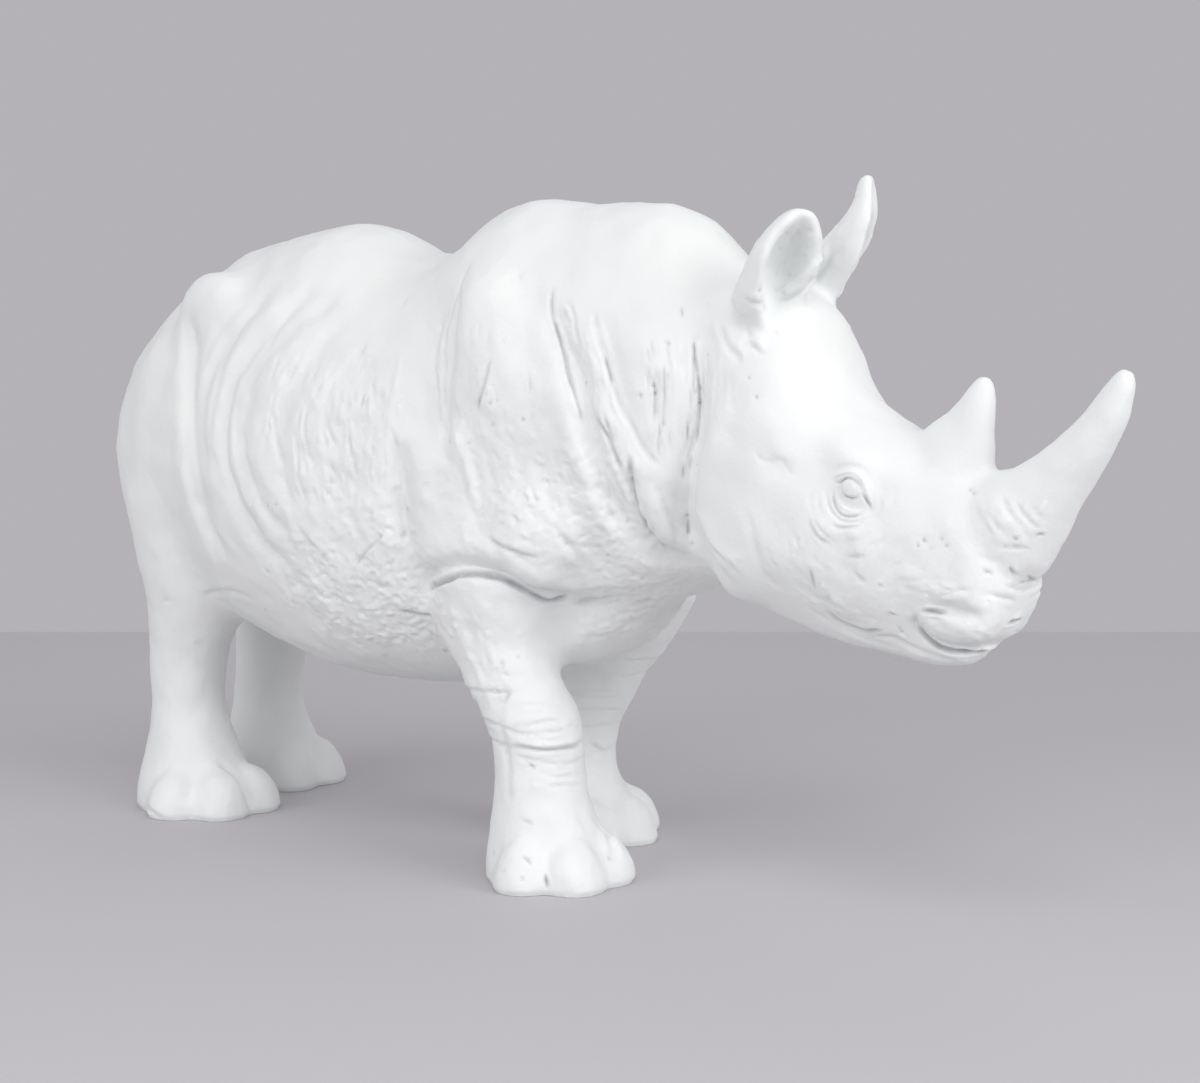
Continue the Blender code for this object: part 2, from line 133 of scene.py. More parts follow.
remesh.voxel_size = VOXEL
smooth = casting.modifiers.new("soften", "SMOOTH")
smooth.factor = 0.5
smooth.iterations = SOFTENING
settle(casting)

# The eyes and the mouth need a finer skin than the rest.
bm = bmesh.new()
bm.from_mesh(casting.data)
skin = BVHTree.FromBMesh(bm)
edges = set()
for pixel, reach in FINE_SPOTS:
    spot = hits(skin, [pixel])[0]
    for side in (1, -1):
        centre = Vector((spot.x, MIDDLE_Y + side * (spot.y - MIDDLE_Y), spot.z))
        for edge in bm.edges:
            if (edge.verts[0].co - centre).length < reach:
                edges.add(edge)
bmesh.ops.subdivide_edges(bm, edges=list(edges), cuts=1, use_grid_fill=True)
bmesh.ops.triangulate(bm, faces=[face for face in bm.faces if len(face.verts) > 4])
bm.normal_update()
bm.to_mesh(casting.data)
bm.free()
casting.data.update()

# Tool marks. The clay was cut with loop tools and knives while soft, so folds have one sharp and
# one rounded side. A mark is: points in the photograph, depth and width in mm, and how far the
# clay stands up along its left side, looking from point to point. A depth below 0 is a ridge.
FLANK_MARKS = [
    ([(182, 312), (185, 340), (186, 380), (186, 425), (187, 460)], 0.35, 2.8, -0.5),
    ([(187, 450), (190, 472), (197, 500), (206, 524), (213, 545), (213, 566)], 0.9, 2.4, -0.6),
    ([(254, 297), (226, 322), (210, 345), (202, 370)], 0.3, 2.2, -0.4),
    ([(266, 300), (244, 326), (224, 362), (213, 400), (210, 428), (213, 460), (222, 495)],
     0.35, 2.0, -0.35),
    ([(296, 308), (278, 330), (256, 362), (241, 388), (235, 418), (237, 452), (244, 486), (258, 518)],
     0.45, 2.0, -0.5),
    ([(250, 306), (222, 336), (209, 362), (201, 392), (204, 424)], -0.35, 2.4, 0),
    ([(288, 298), (262, 318), (243, 340), (230, 368), (222, 404), (221, 436), (226, 474), (240, 508),
      (262, 540)], -0.45, 2.2, 0),
    ([(300, 340), (272, 360), (253, 388), (246, 412), (248, 440), (256, 474), (270, 508)], -0.5, 2.0, 0),
    ([(192, 460), (200, 490), (211, 516), (226, 540), (244, 562)], -0.5, 2.0, 0),
    ([(333, 327), (304, 366), (280, 400), (278, 434), (288, 478)], 0.35, 2.2, -0.3),
    ([(366, 343), (338, 380), (324, 414), (324, 450), (334, 492)], 0.3, 2.0, -0.3),
    ([(272, 408), (276, 434), (281, 456), (287, 472)], 0.7, 0.7, -0.35),
    ([(282, 350), (275, 368), (268, 386)], 0.4, 0.7, 0.25),
    ([(304, 350), (293, 372), (280, 396)], 0.45, 0.7, 0.3),
    ([(319, 364), (314, 376), (308, 388)], 0.4, 0.7, 0.25),
    ([(301, 404), (299, 420), (298, 434)], 0.5, 0.6, 0),
    ([(308, 404), (304, 426), (309, 456)], 0.6, 0.7, -0.35),
    ([(294, 434), (297, 460), (300, 482), (306, 506)], 0.6, 0.8, -0.4),
    ([(326, 424), (331, 436), (337, 448)], 0.7, 0.7, -0.3),
    ([(346, 426), (350, 446), (357, 482)], 0.7, 0.7, -0.3),
    ([(356, 390), (356, 406)], 0.6, 0.7, 0.2),
    ([(365, 392), (362, 412)], 0.7, 0.6, 0.2),
    ([(372, 378), (374, 412)], 0.5, 0.7, -0.2),
    ([(370, 438), (375, 462)], 0.6, 0.7, -0.2),
    ([(392, 432), (398, 450)], 0.6, 0.7, -0.2),
    ([(334, 402), (330, 416), (328, 430)], 0.5, 0.7, 0.2),
    ([(367, 344), (362, 356)], 0.6, 0.6, 0.2),
    ([(406, 298), (401, 308)], 0.5, 0.8, 0.3),
    ([(402, 350), (396, 376), (392, 402)], -0.4, 0.9, 0),
    ([(318, 466), (326, 476), (336, 486)], 0.6, 0.8, 0.3),
    ([(324, 483), (328, 482), (333, 485)], 0.7, 0.6, 0),
    ([(393, 440), (396, 462), (397, 486)], 0.9, 1.6, 0),
    ([(397, 484), (400, 498), (404, 512), (406, 530), (405, 548)], 1.5, 2.0, 0.9),
    ([(388, 530), (378, 540), (368, 550), (352, 570)], 0.7, 0.6, 0.3),
    ([(392, 540), (398, 560), (402, 578)], 0.8, 4.5, 0),
    ([(300, 530), (310, 542), (321, 554)], 0.7, 0.9, 0.5),
    ([(394, 610), (406, 612), (418, 615), (432, 616)], 1.1, 0.8, 0.5),
    ([(404, 554), (398, 574)], 0.5, 0.6, 0.2),
    ([(198, 598), (214, 592), (236, 592), (254, 602)], 0.6, 1.6, 0.6),
    ([(260, 566), (267, 572), (272, 570)], 0.6, 0.9, 0.3),
]
SHOULDER_MARKS = [
    ([(472, 262), (462, 286), (454, 308), (448, 330), (444, 350), (443, 376), (443, 412)],
     0.7, 0.9, 0.5),
    ([(462, 288), (450, 318), (443, 344), (440, 372), (441, 410), (448, 436)], -0.55, 1.2, 0),
    ([(444, 316), (437, 344), (434, 372), (436, 404)], 0.6, 1.6, 0.4),
    ([(448, 420), (458, 444), (468, 468), (478, 500), (486, 526)], -0.6, 2.2, 0),
    ([(467, 444), (474, 468), (478, 492), (484, 514)], 0.7, 1.8, -0.5),
    ([(491, 356), (486, 378), (481, 396), (476, 412)], 0.9, 0.8, 0.5),
    ([(481, 394), (476, 412)], 0.7, 0.5, 0),
    ([(484, 372), (490, 396), (491, 424)], -0.4, 1.6, 0),
    ([(500, 338), (505, 345)], 0.5, 0.7, 0.2),
    ([(518, 273), (521, 281)], 0.5, 0.7, 0.2),
    ([(530, 366), (531, 384), (531, 398)], 0.4, 0.5, 0.2),
    ([(532, 412), (532, 426)], 0.4, 0.5, 0),
    ([(426, 588), (438, 583), (450, 579), (464, 575), (482, 575), (500, 578), (516, 585), (530, 593),
      (546, 601), (560, 599), (571, 594)], 2.0, 1.1, 1.1),
    ([(426, 588), (428, 592), (440, 588)], 1.0, 1.4, 0),
    ([(486, 536), (500, 545), (518, 552), (540, 559)], 0.8, 0.7, 0.5),
    ([(510, 552), (524, 558), (536, 563)], 0.5, 0.6, 0.2),
    ([(548, 520), (558, 532), (566, 542), (574, 552), (582, 562)], 1.0, 1.5, 0.5),
    ([(552, 284), (552, 312), (558, 332), (566, 356), (573, 386), (584, 426)], 0.9, 0.7, -0.5),
    ([(548, 306), (556, 334), (563, 360), (570, 392), (578, 420)], -0.5, 0.8, 0),
    ([(553, 318), (561, 346), (567, 372), (573, 394)], 0.8, 0.55, 0),
    ([(578, 428), (588, 456), (598, 486), (607, 510), (620, 536)], 0.7, 1.6, -0.9),
    ([(566, 298), (573, 314), (576, 334), (582, 358)], 0.6, 0.8, -0.3),
    ([(593, 310), (597, 332), (608, 367), (614, 388), (622, 410), (632, 426), (642, 446), (654, 461),
      (664, 468)], 0.9, 0.9, -0.5),
    ([(603, 352), (609, 370), (613, 388)], 0.7, 0.5, 0),
    ([(592, 412), (602, 428), (611, 446), (623, 474)], 1.0, 0.7, -0.4),
    ([(602, 411), (609, 432), (615, 452)], 0.7, 0.6, -0.2),
    ([(604, 458), (618, 486), (630, 514)], 0.5, 1.2, -0.4),
    ([(569, 605), (584, 601), (600, 597), (614, 594)], 1.1, 1.0, 0.6),
    ([(632, 600), (644, 598), (656, 596)], 1.0, 0.8, 0.5),
    ([(576, 590), (600, 589), (640, 585), (680, 583)], 0.5, 1.6, 0.4),
    ([(575, 640), (592, 638), (612, 632), (650, 614)], 0.4, 1.4, 0.3),
    ([(622, 566), (634, 571), (646, 577)], 0.5, 0.7, 0.3),
    ([(636, 560), (650, 570), (660, 580)], 0.4, 0.7, 0.3),
]
NECK_MARKS = [
    ([(628, 456), (635, 484), (641, 508), (650, 526), (664, 542), (682, 555)], 1.4, 1.0, 1.0),
    ([(624, 462), (632, 496), (640, 518)], 0.6, 0.8, 0),
    ([(655, 480), (662, 500), (671, 522), (680, 546)], 0.9, 1.2, -0.5),
    ([(645, 496), (655, 520), (668, 540)], -0.8, 2.4, 0),
    ([(653, 374), (655, 394), (654, 424)], 0.9, 0.6, 0.2),
    ([(659, 366), (658, 396), (660, 430)], 0.5, 0.6, 0),
    ([(664, 360), (664, 398), (663, 436)], 0.6, 0.5, -0.2),
    ([(660, 430), (660, 450), (664, 460)], 0.5, 0.7, 0),
    ([(694, 336), (695, 356), (698, 376), (700, 402), (698, 430), (695, 446)], 0.9, 0.55, 0.5),
    ([(700, 420), (694, 452), (691, 490), (688, 530), (693, 552)], 0.8, 1.5, 0.5),
    ([(698, 374), (700, 396), (699, 416)], 0.9, 0.45, 0),
    ([(693, 350), (694, 372), (693, 398)], 0.5, 0.4, 0),
    ([(703, 366), (705, 392), (704, 424)], 0.45, 0.4, 0),
    ([(690, 384), (691, 404), (690, 420)], 0.4, 0.4, 0),
    ([(688, 416), (688, 446)], 0.8, 0.4, 0),
    ([(684, 462), (682, 480)], 0.9, 0.5, 0),
    ([(688, 516), (689, 540)], 0.7, 0.5, 0),
    ([(682, 306), (682, 319)], 0.7, 0.5, 0),
    ([(692, 400), (691, 440), (687, 470)], -0.5, 0.9, 0),
    ([(704, 338), (703, 370), (705, 404)], 0.5, 0.7, 0.2),
    ([(709, 346), (708, 380), (708, 412)], 0.4, 0.6, 0.2),
    ([(716, 350), (716, 384), (713, 420)], 0.4, 0.7, 0),
    ([(714, 314), (716, 330), (715, 344)], -0.8, 1.3, 0),
    ([(730, 368), (732, 400), (735, 416)], 0.4, 1.3, 0.2),
    ([(703, 437), (697, 466), (694, 500), (697, 528)], -0.6, 2.4, 0),
    ([(697, 512), (705, 538), (716, 554), (730, 566), (742, 578)], 0.7, 1.4, 0.8),
    ([(728, 558), (737, 568)], 0.4, 0.5, 0.2),
    ([(733, 556), (742, 566)], 0.4, 0.5, 0.2),
    ([(720, 318), (722, 334), (729, 348), (737, 356), (743, 366)], 0.9, 1.3, 0.6),
    ([(728, 311), (736, 319), (748, 322)], 0.8, 1.4, 0.6),
    ([(746, 337), (752, 345), (760, 351), (769, 350)], 0.9, 1.1, 0.9),
    ([(752, 334), (758, 340), (766, 342)], -0.9, 2.2, 0),
    ([(732, 326), (738, 334), (745, 342)], -0.6, 1.8, 0),
    ([(744, 329), (748, 333), (750, 338)], 0.6, 0.8, 0.3),
    ([(741, 291), (748, 300), (760, 304), (773, 301)], 0.8, 1.1, 0.5),
    ([(771, 331), (776, 333), (781, 333)], 0.5, 0.7, 0.3),
    ([(794, 336), (799, 329)], 0.6, 0.8, 0.3),
    ([(782, 350), (789, 342)], 0.3, 0.8, 0),
]
HEAD_MARKS = [
    ([(752, 448), (760, 458), (768, 462), (777, 460), (783, 460), (787, 468), (793, 474), (801, 475)],
     0.35, 0.5, 0.2),
    ([(746, 506), (752, 532), (762, 566), (778, 590)], 0.4, 1.8, 0.4),
    ([(795, 530), (798, 545), (799, 558)], 0.4, 0.6, 0.2),
    ([(788, 540), (790, 550), (792, 561)], 0.4, 0.6, 0.2),
    ([(802, 526), (806, 540), (806, 553)], 0.3, 0.6, 0.2),
    ([(809, 565), (813, 579), (815, 593)], 0.9, 0.55, 0.3),
    ([(826, 593), (829, 602), (834, 610)], 0.7, 0.9, 0.4),
    ([(826, 609), (837, 619), (850, 626), (866, 631), (886, 630)], 1.3, 1.0, 0.9),
    ([(858, 629), (872, 636), (892, 637), (905, 643), (918, 651)], 0.8, 0.9, 0.5),
    ([(800, 600), (820, 615), (846, 630), (870, 641), (900, 650)], 0.4, 1.2, 0.4),
    ([(851, 568), (858, 576), (867, 585)], 0.7, 0.8, 0.4),
    ([(877, 584), (883, 587)], 0.8, 0.6, 0.3),
    ([(888, 612), (896, 616)], 0.8, 0.5, 0.3),
    ([(896, 579), (914, 580), (934, 578)], 0.35, 0.7, 0.3),
    ([(938, 595), (956, 592), (976, 588)], 0.4, 0.9, 0.3),
    ([(905, 588), (918, 592), (930, 590)], 0.3, 0.7, 0.3),
    ([(976, 500), (980, 515), (990, 530), (1003, 541)], 0.4, 1.1, 0.3),
    ([(986, 494), (989, 512), (998, 527), (1012, 538)], 0.4, 1.1, 0.3),
    ([(1002, 490), (1006, 507), (1016, 521), (1030, 531)], 0.4, 1.0, 0.3),
    ([(1015, 497), (1022, 513), (1033, 525), (1046, 531)], 0.45, 0.9, 0.35),
    ([(1030, 503), (1038, 515), (1050, 522)], 0.3, 0.8, 0.3),
    ([(1012, 538), (1019, 539)], 0.9, 0.6, 0.3),
    ([(1033, 537), (1040, 535), (1047, 536)], 0.9, 0.5, 0.3),
    ([(990, 548), (1004, 547), (1020, 548), (1036, 551)], 0.5, 0.9, 0.4),
    ([(976, 553), (990, 560), (1008, 561)], 0.4, 0.9, 0.3),
    ([(981, 569), (987, 572), (994, 575)], 0.9, 0.6, 0.3),
    ([(1008, 566), (1012, 571), (1016, 577)], 0.9, 0.7, 0.4),
    ([(1027, 573), (1031, 578), (1036, 581)], 1.0, 0.7, 0.4),
    ([(984, 590), (998, 597), (1018, 601)], 0.5, 1.0, 0.4),
    ([(1000, 581), (1012, 588), (1028, 592)], 0.4, 0.9, 0.3),
]
EYE_MARKS = [
    ([(830, 479), (838, 475), (848, 472), (857, 474), (863, 481), (867, 491), (872, 505)],
     -0.75, 0.55, 0),
    ([(832, 481), (840, 483), (846, 479), (853, 479), (859, 484), (862, 492)], 1.2, 0.45, 0),
    ([(828, 474), (838, 468), (851, 465), (863, 469), (871, 480), (877, 494)], 0.2, 0.7, 0.15),
    ([(843, 490), (846, 495), (852, 498), (860, 497)], 0.7, 0.4, 0),
    ([(837, 491), (839, 502), (847, 510), (858, 512), (867, 508)], -0.5, 0.55, 0),
    ([(833, 489), (835, 505), (842, 515), (854, 517), (866, 513)], 0.8, 0.5, 0),
    ([(828, 486), (828, 501), (833, 513), (843, 521), (857, 522), (871, 516)], 0.5, 0.6, 0.3),
    ([(861, 491), (866, 499), (871, 508), (872, 514)], 0.9, 0.5, 0),
    ([(820, 486), (818, 502), (823, 517)], 0.35, 0.8, 0.2),
    ([(813, 488), (811, 504), (815, 517)], 0.3, 0.9, 0.2),
    ([(829, 523), (840, 528), (854, 527), (866, 523)], 0.6, 0.7, 0.4),
    ([(841, 538), (853, 540), (867, 535)], 0.5, 0.6, 0.3),
    ([(864, 545), (878, 543), (889, 534)], 0.4, 0.7, 0.3),
    ([(844, 554), (854, 557), (867, 554)], 0.7, 0.6, 0.4),
    ([(808, 517), (813, 530), (822, 540), (833, 546)], 0.6, 0.6, 0.35),
    ([(812, 514), (819, 527), (829, 537), (840, 543)], 0.4, 0.5, 0.2),
    ([(878, 495), (882, 505), (875, 516)], 0.35, 0.8, 0.2),
    ([(892, 482), (896, 497), (889, 516)], 0.25, 1.2, 0.2),
    ([(894, 546), (905, 541), (914, 530)], 0.3, 0.9, 0.2),
]
EYEBALL_PIXEL = (851, 488)
EYEBALL_RADIUS = 3.4
EYEBALL_LIFT = 0.9
MOUTH_MARKS = [
    ([(918, 624), (923, 631), (930, 638), (940, 646), (953, 650), (970, 651), (988, 649), (1004, 647),
      (1016, 644)], 2.2, 0.9, 0.9),
    ([(918, 613), (928, 611), (938, 612), (950, 614)], 1.8, 0.8, 0.6),
    ([(950, 614), (962, 616), (978, 616), (992, 619)], 0.7, 1.8, 0),
    ([(919, 614), (915, 620), (919, 629)], 1.0, 1.0, 0),
    ([(932, 624), (952, 629), (976, 633), (1000, 632)], -0.8, 3.4, 0),
    ([(914, 600), (934, 597), (960, 602), (986, 608)], -0.5, 3.0, 0),
    ([(893, 638), (906, 643), (920, 650), (940, 657), (962, 661)], 0.5, 1.2, 0.3),
    ([(935, 654), (956, 659), (984, 658)], -0.4, 1.8, 0),
    ([(1010, 620), (1016, 622), (1023, 621)], 1.2, 0.8, 0.4),
    ([(936, 640), (950, 643), (968, 644)], 0.3, 0.7, 0.2),
]
BOTH_SIDES = FLANK_MARKS + SHOULDER_MARKS + NECK_MARKS + HEAD_MARKS + EYE_MARKS + MOUTH_MARKS
LEG_MARKS = [
    ([(448, 606), (456, 632), (470, 660), (486, 690), (496, 716)], -0.6, 1.6, 0),
    ([(460, 612), (468, 630), (480, 650)], 0.5, 2.0, 0),
    ([(502, 668), (505, 674), (511, 678)], 0.7, 0.7, 0.2),
    ([(512, 690), (506, 698), (500, 706)], 0.9, 0.8, 0.3),
    ([(505, 686), (512, 690)], 0.7, 0.8, 0),
    ([(496, 696), (506, 690)], 0.5, 0.7, 0),
    ([(500, 712), (505, 736), (509, 756), (511, 780), (511, 806)], 0.6, 1.4, 0.6),
    ([(540, 702), (554, 700), (568, 702)], 0.3, 0.8, 0.3),
    ([(518, 714), (536, 712), (556, 714)], 0.3, 0.9, 0.3),
    ([(510, 725), (528, 726), (548, 721), (566, 722)], 0.5, 0.7, 0.4),
    ([(508, 731), (526, 734), (548, 732), (572, 734)], 0.35, 0.8, 0.3),
    ([(574, 727), (583, 724)], 0.6, 0.6, 0.4),
    ([(512, 745), (530, 747), (548, 750), (566, 748), (584, 745)], 0.9, 0.7, 0.6),
    ([(514, 756), (536, 761), (558, 764), (584, 760)], 0.5, 0.8, 0.4),
    ([(527, 762), (532, 766), (537, 770)], 0.8, 0.5, 0.2),
    ([(540, 773), (556, 777), (582, 775)], 0.4, 0.8, 0.3),
    ([(544, 785), (560, 787), (580, 785)], 0.3, 0.8, 0.2),
    ([(530, 776), (530, 793)], 0.4, 0.7, 0.2),
    ([(504, 742), (507, 750), (506, 762)], 0.7, 0.9, 0),
    ([(519, 819), (528, 822), (537, 826)], 0.6, 0.6, 0.3),
    ([(521, 855), (527, 859), (533, 867)], 0.9, 0.6, 0),
    ([(542, 848), (546, 866), (548, 880)], 1.4, 1.8, 0),
    ([(544, 870), (546, 880), (548, 892)], 1.2, 0.6, 0),
    ([(574, 796), (581, 818), (594, 838)], 0.4, 1.8, 0),
    ([(590, 816), (605, 830), (614, 846), (616, 868)], 1.5, 1.6, 0),
    ([(588, 741), (597, 747), (604, 750), (612, 746)], 0.8, 0.8, 0.5),
    ([(586, 716), (598, 714), (610, 716)], 0.3, 0.8, 0.2),
    ([(604, 776), (612, 780)], 0.4, 0.8, 0.2),
    ([(613, 788), (622, 790)], 0.4, 0.8, 0.2),
    ([(622, 802), (634, 804)], 0.4, 0.8, 0.2),
    ([(168, 598), (164, 604)], 0.6, 0.9, 0.2),
    ([(190, 786), (187, 808)], 0.9, 2.0, 0),
    ([(212, 757), (232, 772), (246, 792), (254, 812)], 1.4, 2.0, 0),
    ([(147, 806), (156, 814), (169, 819)], 0.8, 0.9, 0.4),
]
EAR_MARKS = [
    ([(827, 240), (822, 256), (811, 270), (797, 281), (782, 289), (772, 291)], -1.7, 1.2, 0),
    ([(832, 248), (827, 264), (816, 278), (802, 289), (786, 297), (770, 300)], 1.2, 1.1, 0),
    ([(771, 291), (782, 288), (792, 282)], 0.6, 0.6, 0),
    ([(793, 234), (788, 248), (786, 264)], 0.5, 1.0, 0),
    ([(803, 222), (794, 232), (790, 246)], 0.4, 0.6, 0),
    ([(814, 256), (818, 262), (822, 262)], 0.5, 0.8, 0),
]

# On the rump, which the photograph doesn't show, points are mm across from the middle and up.
RUMP_MARKS = [
    ([(4.5, 176), (6.5, 158), (6.5, 138), (5.5, 118), (3.5, 104)], 0.7, 1.3, 0),
    ([(11, 184), (16, 166), (18, 146), (16, 124), (11, 108)], 0.45, 2.2, 0.4),
    ([(25, 178), (31, 158), (33, 136), (30, 114)], 0.35, 2.4, 0.35),
    ([(7, 98), (16, 92), (27, 94), (37, 101)], 0.6, 1.8, 0.6),
    ([(12, 84), (22, 80), (33, 83)], 0.4, 1.8, 0.4),
    ([(22, 150), (23, 138), (21, 128)], 0.3, 0.9, 0),
    ([(28, 128), (27, 118), (24, 110)], 0.3, 0.9, 0),
    ([(16, 60), (24, 58), (33, 60)], 0.25, 1.6, 0.3),
]
TAIL_RINGS = [
    ([(-3, height), (0, height - 0.8), (3, height)], 0.35, 0.8, 0)
    for height in (168, 161, 153.5, 147, 139, 132, 125.5, 118)
]
BEHIND = -0.4
PITS = [
    (523, 420), (468, 443), (450, 442), (410, 509), (498, 401), (653, 386), (655, 394), (669, 344),
    (700, 403), (494, 853), (487, 870), (504, 871), (522, 879), (502, 663), (503, 667), (626, 652),
    (918, 546), (924, 541), (931, 548), (942, 539), (946, 546), (970, 490), (974, 494), (902, 632),
    (899, 629), (293, 602), (318, 612), (358, 644), (322, 557), (324, 555), (267, 572), (270, 505),
    (277, 505), (326, 493), (749, 378), (756, 397), (687, 516), (689, 532), (692, 544), (766, 307),
    (760, 291), (783, 292), (610, 858), (696, 392), (701, 388), (339, 624), (336, 600), (490, 404),
    (491, 425), (640, 396), (627, 522), (446, 651), (518, 657), (1018, 621), (430, 588),
]
PIT_RADIUS = 0.6
PIT_DEPTH = 0.7
PIT_SIZES = (0.7, 1.2)

# Streaks. Between two guide lines in the photograph the clay was raked with a toothed tool. Each
# entry: the guides, how many streaks, their shortest and longest run in pixels, depth and width.
BODY_STREAKS = [
    ([(296, 352), (272, 386), (264, 420), (272, 466), (290, 512)],
     [(412, 352), (404, 392), (402, 430), (400, 470), (396, 512)], 330, 7, 30, 0.38, 0.62),
    ([(214, 350), (196, 400), (204, 450), (226, 510)],
     [(280, 352), (256, 404), (262, 460), (286, 520)], 60, 8, 26, 0.2, 0.8),
    ([(236, 520), (280, 558), (330, 585), (400, 600)],
     [(276, 500), (310, 530), (350, 545), (396, 560)], 110, 6, 20, 0.32, 0.8),
    ([(434, 320), (432, 372), (440, 430), (462, 520)],
     [(492, 320), (502, 390), (516, 450), (540, 530)], 190, 5, 24, 0.34, 0.6),
    ([(452, 520), (480, 500), (520, 480), (560, 470)],
     [(470, 560), (500, 565), (540, 560), (580, 540)], 90, 5, 18, 0.4, 0.8),
    ([(556, 300), (572, 370), (596, 460), (616, 540)],
     [(604, 320), (622, 400), (640, 460), (660, 540)], 210, 8, 34, 0.36, 0.55),
    ([(604, 470), (620, 510), (650, 552)], [(634, 470), (650, 520), (676, 560)], 60, 5, 16, 0.4, 0.6),
    ([(640, 330), (646, 400), (652, 470)], [(700, 330), (700, 400), (690, 480)], 150, 8, 34, 0.42, 0.45),
    ([(701, 330), (702, 380), (702, 430)], [(724, 350), (722, 390), (716, 430)], 34, 10, 30, 0.3, 0.5),
    ([(826, 512), (840, 526), (860, 528), (880, 516)],
     [(790, 530), (820, 572), (868, 584), (908, 556)], 46, 8, 24, 0.22, 0.55),
    ([(740, 510), (760, 566), (800, 606), (850, 632)],
     [(800, 520), (824, 574), (850, 604), (880, 622)], 120, 6, 20, 0.3, 0.6),
    ([(860, 560), (900, 560), (950, 580), (1000, 592)],
     [(880, 610), (906, 600), (950, 598), (1010, 606)], 70, 6, 18, 0.28, 0.6),
    ([(966, 496), (976, 528), (1000, 556)],
     [(1024, 500), (1034, 524), (1046, 546)], 46, 8, 22, 0.24, 0.8),
    ([(925, 618), (960, 622), (1005, 622)], [(935, 644), (970, 646), (1015, 640)], 60, 4, 10, 0.26, 0.5),
    ([(572, 596), (620, 590), (690, 578)], [(576, 646), (620, 636), (670, 606)], 120, 8, 26, 0.34, 0.6),
    ([(330, 600), (370, 596), (425, 580)], [(350, 640), (390, 636), (436, 632)], 130, 4, 12, 0.5, 0.7),
    ([(260, 590), (320, 626), (380, 650), (440, 662)],
     [(300, 572), (340, 590), (390, 604), (430, 604)], 110, 5, 16, 0.34, 0.8),
    ([(394, 520), (392, 550), (396, 585)], [(420, 520), (420, 550), (424, 580)], 50, 6, 18, 0.35, 0.6),
]
LEG_STREAKS = [
    ([(446, 604), (462, 654), (500, 720)], [(478, 600), (496, 650), (512, 712)], 60, 6, 20, 0.36, 0.8),
    ([(508, 712), (546, 710), (582, 706)], [(512, 786), (546, 790), (584, 782)], 60, 10, 44, 0.26, 0.7),
    ([(500, 800), (496, 840), (490, 880)], [(610, 806), (618, 840), (624, 880)], 60, 5, 14, 0.22, 0.8),
    ([(588, 712), (602, 716), (616, 712)], [(590, 780), (604, 784), (616, 782)], 26, 8, 20, 0.24, 0.7),
    ([(150, 590), (150, 650), (150, 720)], [(200, 600), (205, 650), (205, 720)], 50, 8, 26, 0.24, 1.0),
    ([(136, 380), (134, 440), (150, 520)], [(178, 380), (178, 440), (190, 520)], 30, 8, 26, 0.2, 1.1),
    ([(792, 222), (778, 246), (776, 282)], [(824, 222), (824, 240), (800, 276)], 60, 3, 9, 0.5, 0.6),
]
STREAK_POINTS = 6
GUIDE_POINTS = 9
STREAK_STRENGTHS = (0.2, 0.8)
STREAK_WIDTHS = (0.75, 1.3)
STREAK_DRIFT = 0.04
RIDGE_SHARE = 0.35

# Wrinkles round the fore knees and ankles, on all sides of a leg: the leg's rough middle in mm, the
# heights of its wrinkles, depth and width. Each height has three short ones.
LEG_WRINKLES = [
    ((7, -31.5), (44, 50, 57, 63, 69), 0.3, 0.8),
    ((-29, 33), (44, 50, 57, 64, 71), 0.3, 0.8),
]
LEG_REACH = 26
WRINKLE_SWING = 2.2
WRINKLE_SWEEPS = (1.0, 2.6)
WRINKLE_POINTS = 16
WRINKLE_LEDGE = 0.25

# Unevenness left by the fingers: the mean length of the waves, their height in mm, and how much of
# it lies only where the clay was worked most. Those spots are: a pixel, reach in mm and strength.
# There the clay is crumbly too.
LUMPS = [(46, 0.30, 0), (17, 0.17, 0.25), (8.5, 0.10, 0.55), (4.2, 0.065, 0.8)]
WORKED_SPOTS = [
    ((330, 450), 34, 0.9), ((380, 540), 26, 0.9), ((360, 620), 34, 1.3), ((420, 610), 18, 1.6),
    ((470, 470), 26, 0.8), ((520, 510), 28, 1.1), ((600, 450), 24, 0.8), ((630, 530), 24, 1.2),
    ((600, 620), 28, 1.0), ((660, 600), 22, 1.0), ((830, 590), 24, 0.8), ((900, 600), 20, 0.6),
    ((980, 560), 18, 0.6), ((970, 635), 14, 0.9), ((740, 330), 12, 1.0), ((480, 640), 24, 0.9),
    ((520, 740), 20, 0.6), ((800, 250), 12, 1.2), ((560, 860), 22, 0.4), ((200, 780), 24, 0.4),
    ((290, 580), 24, 0.8), ((170, 640), 24, 0.4),
]
CRUMB_MM = (3.4, 9)
CRUMB_PIT_MM, CRUMB_RISE_MM = 0.4, 0.25
WORKED_MOST = 1.8
WAVES = 26
SOLE_ROUND_MM = 2.2
SOLE_DRAW_IN_MM = 1.0
SOLE_LEVEL = 0.0001

# How the tool moves. The hand wavers by a share of the depth over some mm, the cut tapers to its
# ends, and clay is pushed up in lips beside it. Only cuts that are narrow get painted shade.
PRESSURE = 0.75
WAVER = ((0.22, 1.6), (0.18, 4.1))
TAPER_MM, TAPER_WIDTHS, TAPER_SHARE = 4.0, 1.2, 0.45
LIP, LIP_PLACE, LIP_WIDTH = 0.22, 1.8, 0.7
GROOVE_REACH = 2.4
LEDGE_REACH_MM = 4.5
GAP_MM = 12
NARROW_MM = 1.4
PIT_SHADE = 0.6

rng = np.random.default_rng(11)


def ramp(values, low, high):
    """Eases from 0 at low to 1 at high."""
    share = np.clip((values - low) / (high - low), 0, 1)
    return share * share * (3 - 2 * share)


